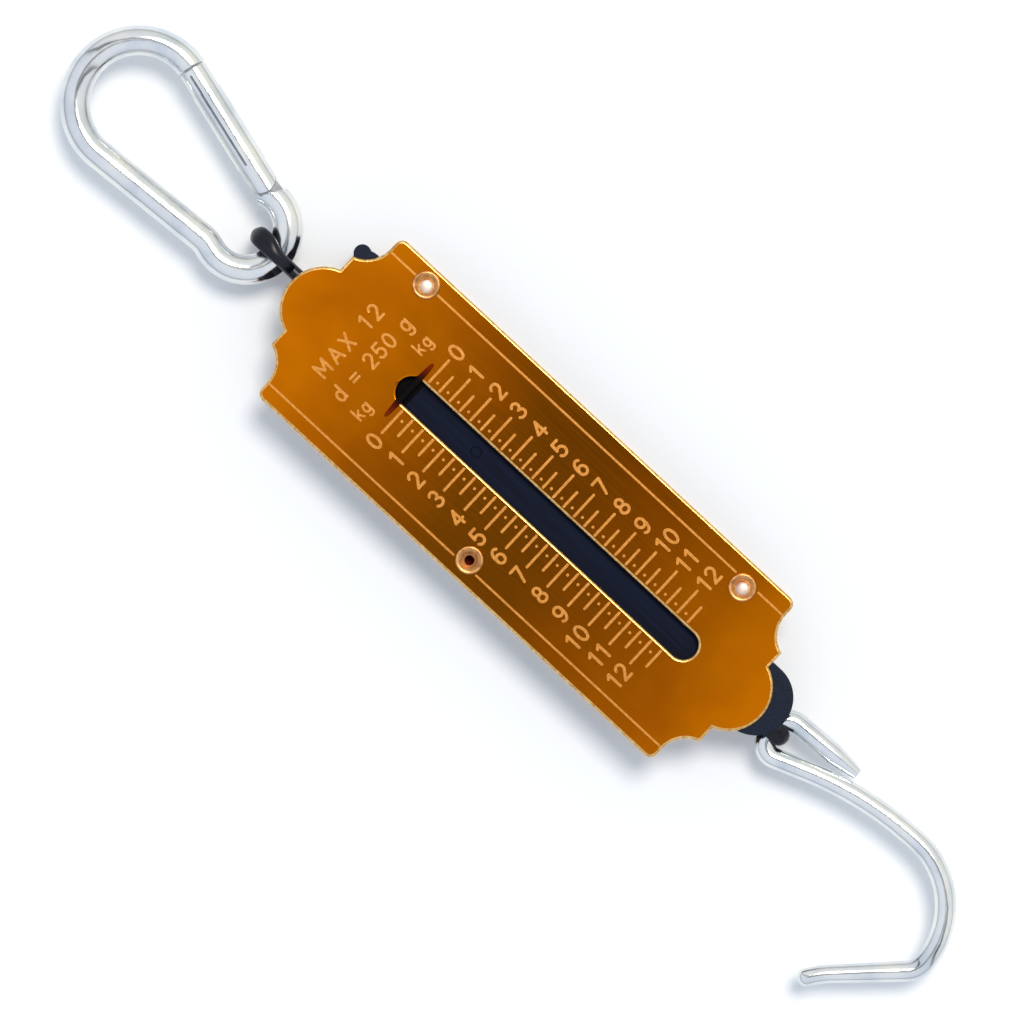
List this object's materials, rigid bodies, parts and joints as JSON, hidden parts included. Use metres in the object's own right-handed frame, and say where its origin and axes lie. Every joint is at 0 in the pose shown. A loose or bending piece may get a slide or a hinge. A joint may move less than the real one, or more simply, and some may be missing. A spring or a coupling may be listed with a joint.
{
  "type": "pocket spring balance",
  "caption": "Flat pocket spring balance: two scale plates on a black moulded core, a sprung draw bar with pointer and wire load hook, and a snap hook to hang it from.",
  "frame": {"origin": "centre of the rear plate's back face, on the line of the slot and midway between the plates' two noses", "axes": "+X across the plates to the right seen from the dial side, +Y along the balance to the snap hook, +Z out of the dial side; the balance lies on its back"},
  "size_m": [0.0542, 0.2458, 0.0139],
  "materials": {
    "anodised_plate": "orange-gold anodised, glossy, with a pale printed scale",
    "black_moulding": "black moulded plastic",
    "rivet_metal": "bright tubular rivets",
    "black_metal": "black enamelled steel",
    "pin_steel": "plain steel pins",
    "spring_steel": "drawn spring wire",
    "pointer_paint": "dark red painted pointer",
    "plated_wire": "bright zinc or nickel plated wire"
  },
  "bodies": {
    "housing": {"front_plate": "anodised_plate", "rear_plate": "anodised_plate", "front_frame": "black_moulding", "rear_frame": "black_moulding", "rivets": "rivet_metal", "top_eye": "black_metal", "top_eye_pin": "pin_steel", "spring_anchor_pin": "pin_steel", "spring": "spring_steel"},
    "draw": {"draw_bar": "black_metal", "spring_pin": "black_metal", "pointer": "pointer_paint", "pointer_rivet": "pin_steel", "draw_eye": "black_metal", "draw_eye_pin": "pin_steel"},
    "hook": {"load_hook": "plated_wire"},
    "snap": {"snap_body": "plated_wire"},
    "snap_gate": {"gate": "plated_wire", "gate_pin": "pin_steel", "latch_pin": "pin_steel", "gate_plunger": "pin_steel", "gate_spring": "spring_steel"}
  },
  "joints": [
    {"name": "draw_slide", "type": "slide", "parent": "housing", "child": "draw", "axis": [0, -1, 0], "range_m": [0, 0.072], "stiffness_N_per_m": 1780, "springref_m": -0.002, "deforming": ["spring"]},
    {"name": "hook_swing", "type": "hinge", "parent": "draw", "child": "hook", "pos_m": [-0.00025, -0.0666, 0.0066], "axis": [1, 0, 0], "range_deg": [-55, 95]},
    {"name": "snap_swing", "type": "hinge", "parent": "housing", "child": "snap", "pos_m": [0.0016, 0.0684, 0.0066], "axis": [1, 0, 0], "range_deg": [-90, 90]},
    {"name": "gate_hinge", "type": "hinge", "parent": "snap", "child": "snap_gate", "pos_m": [0.0107, 0.0812, 0.0066], "axis": [0, 0, 1], "range_deg": [0, 27], "stiffness_Nm_per_rad": 0.05, "springref_deg": -22.92}
  ]
}
